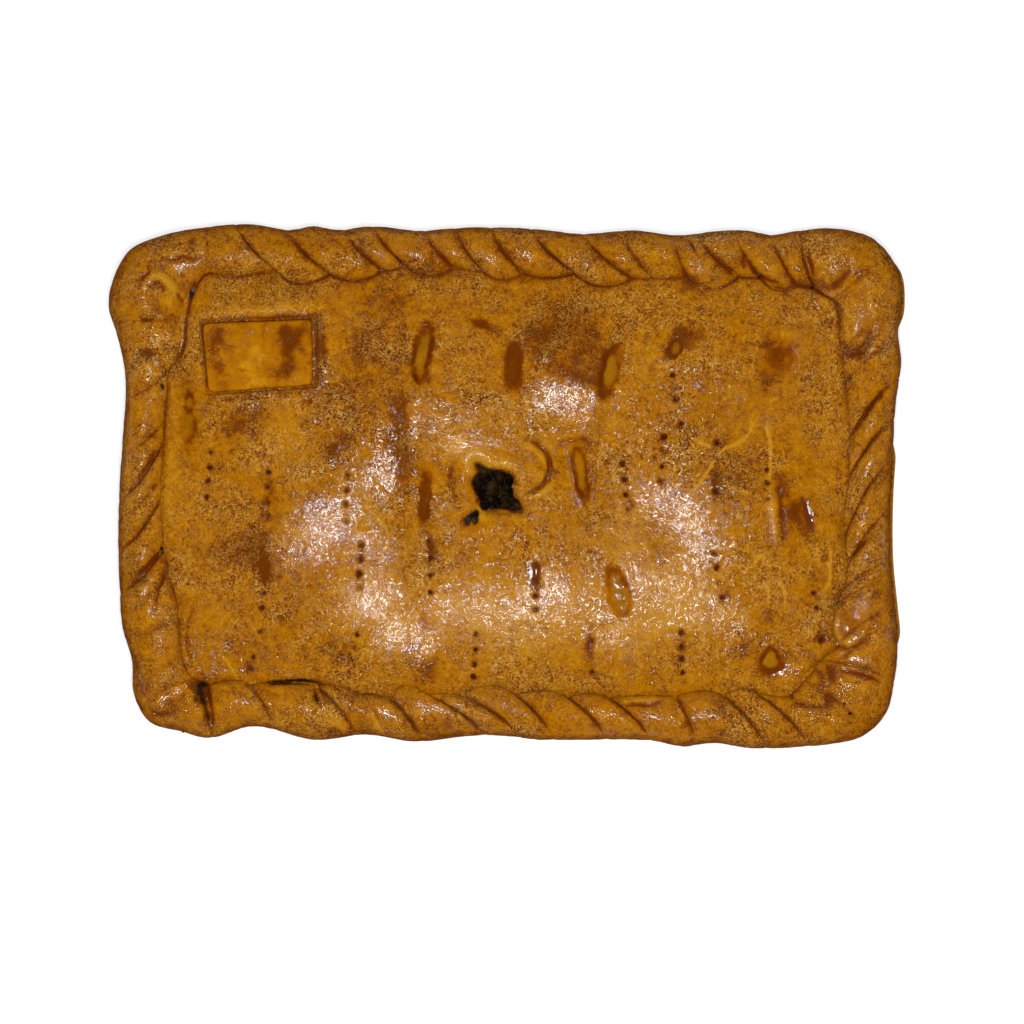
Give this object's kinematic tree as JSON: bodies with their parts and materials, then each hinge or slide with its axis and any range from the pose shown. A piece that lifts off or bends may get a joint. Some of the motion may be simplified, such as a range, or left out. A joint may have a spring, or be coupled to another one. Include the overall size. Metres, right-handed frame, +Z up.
{
  "type": "cuttlefish empanada",
  "caption": "Large rectangular savoury pie with a twisted rope edge, a blistered golden lid with steam slits, a torn vent that shows an ink-black filling, and a plain dough tag.",
  "frame": {"origin": "on the table, under the middle of the pie's outline", "axes": "+X along the long side, towards the picture's right; +Y along the short side, towards its top; +Z up out of the lid"},
  "size_m": [0.3944, 0.2607, 0.0295],
  "materials": {
    "crust": "baked bread dough, egg-washed, satin with glossy patches, golden brown",
    "filling": "cuttlefish and onion stewed in ink, wet, black",
    "dough_tag": "baked bread dough, egg-washed, satin, golden yellow with brown spots"
  },
  "bodies": {
    "root": {"crust": "crust", "filling": "filling", "dough_tag": "dough_tag"}
  },
  "joints": []
}
